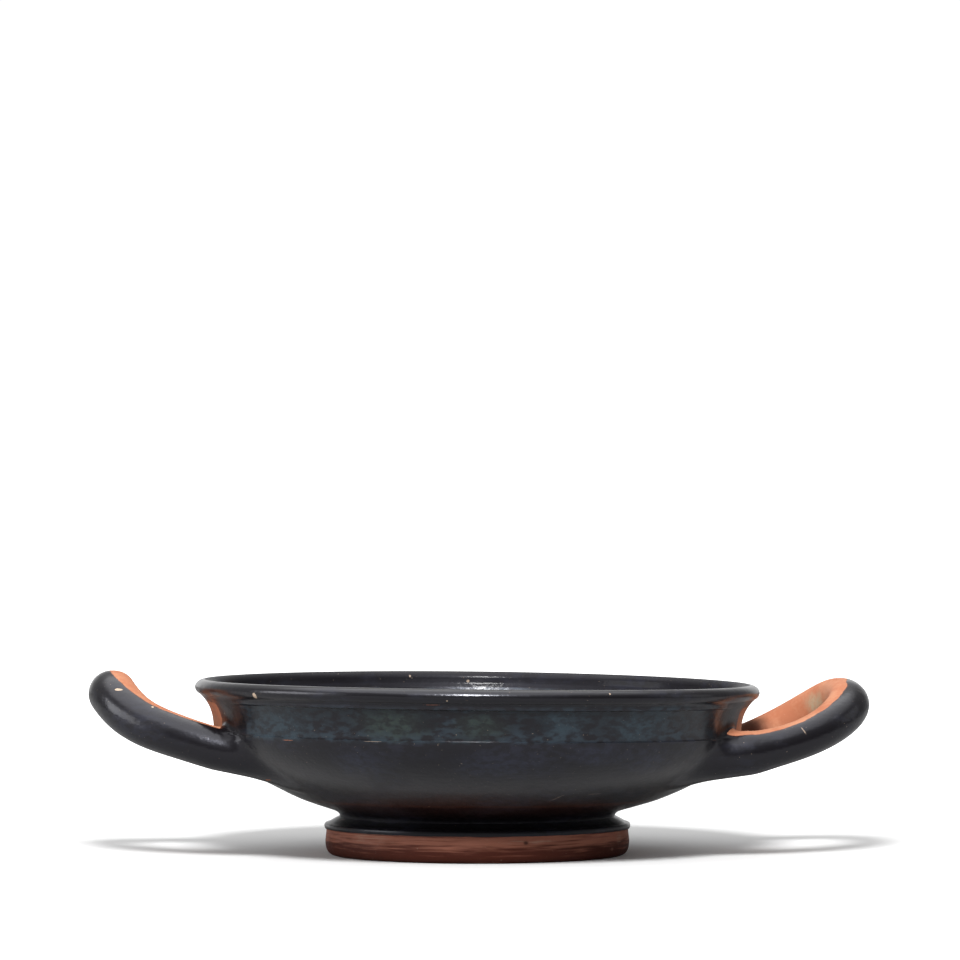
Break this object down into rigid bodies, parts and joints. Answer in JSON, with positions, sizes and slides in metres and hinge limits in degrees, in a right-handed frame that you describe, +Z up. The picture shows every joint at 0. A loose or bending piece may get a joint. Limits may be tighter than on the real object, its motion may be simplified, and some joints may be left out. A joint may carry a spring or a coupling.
{
  "type": "stemless kylix cup",
  "caption": "Shallow black-gloss drinking cup with an offset lip, a low ring foot and two horizontal loop handles.",
  "frame": {"origin": "middle of the foot's resting face, where the cup meets the table, below the middle between the handle tips", "axes": "+Z up out of the mouth, X along the line through both handles, +Y away from the side that the picture shows"},
  "size_m": [0.226, 0.1642, 0.0531],
  "materials": {
    "black_gloss_clay": "fired clay with a thin black gloss slip, left bare and orange inside the handles and on the side of the foot"
  },
  "bodies": {
    "root": {"kylix_cup": "black_gloss_clay"}
  },
  "joints": []
}
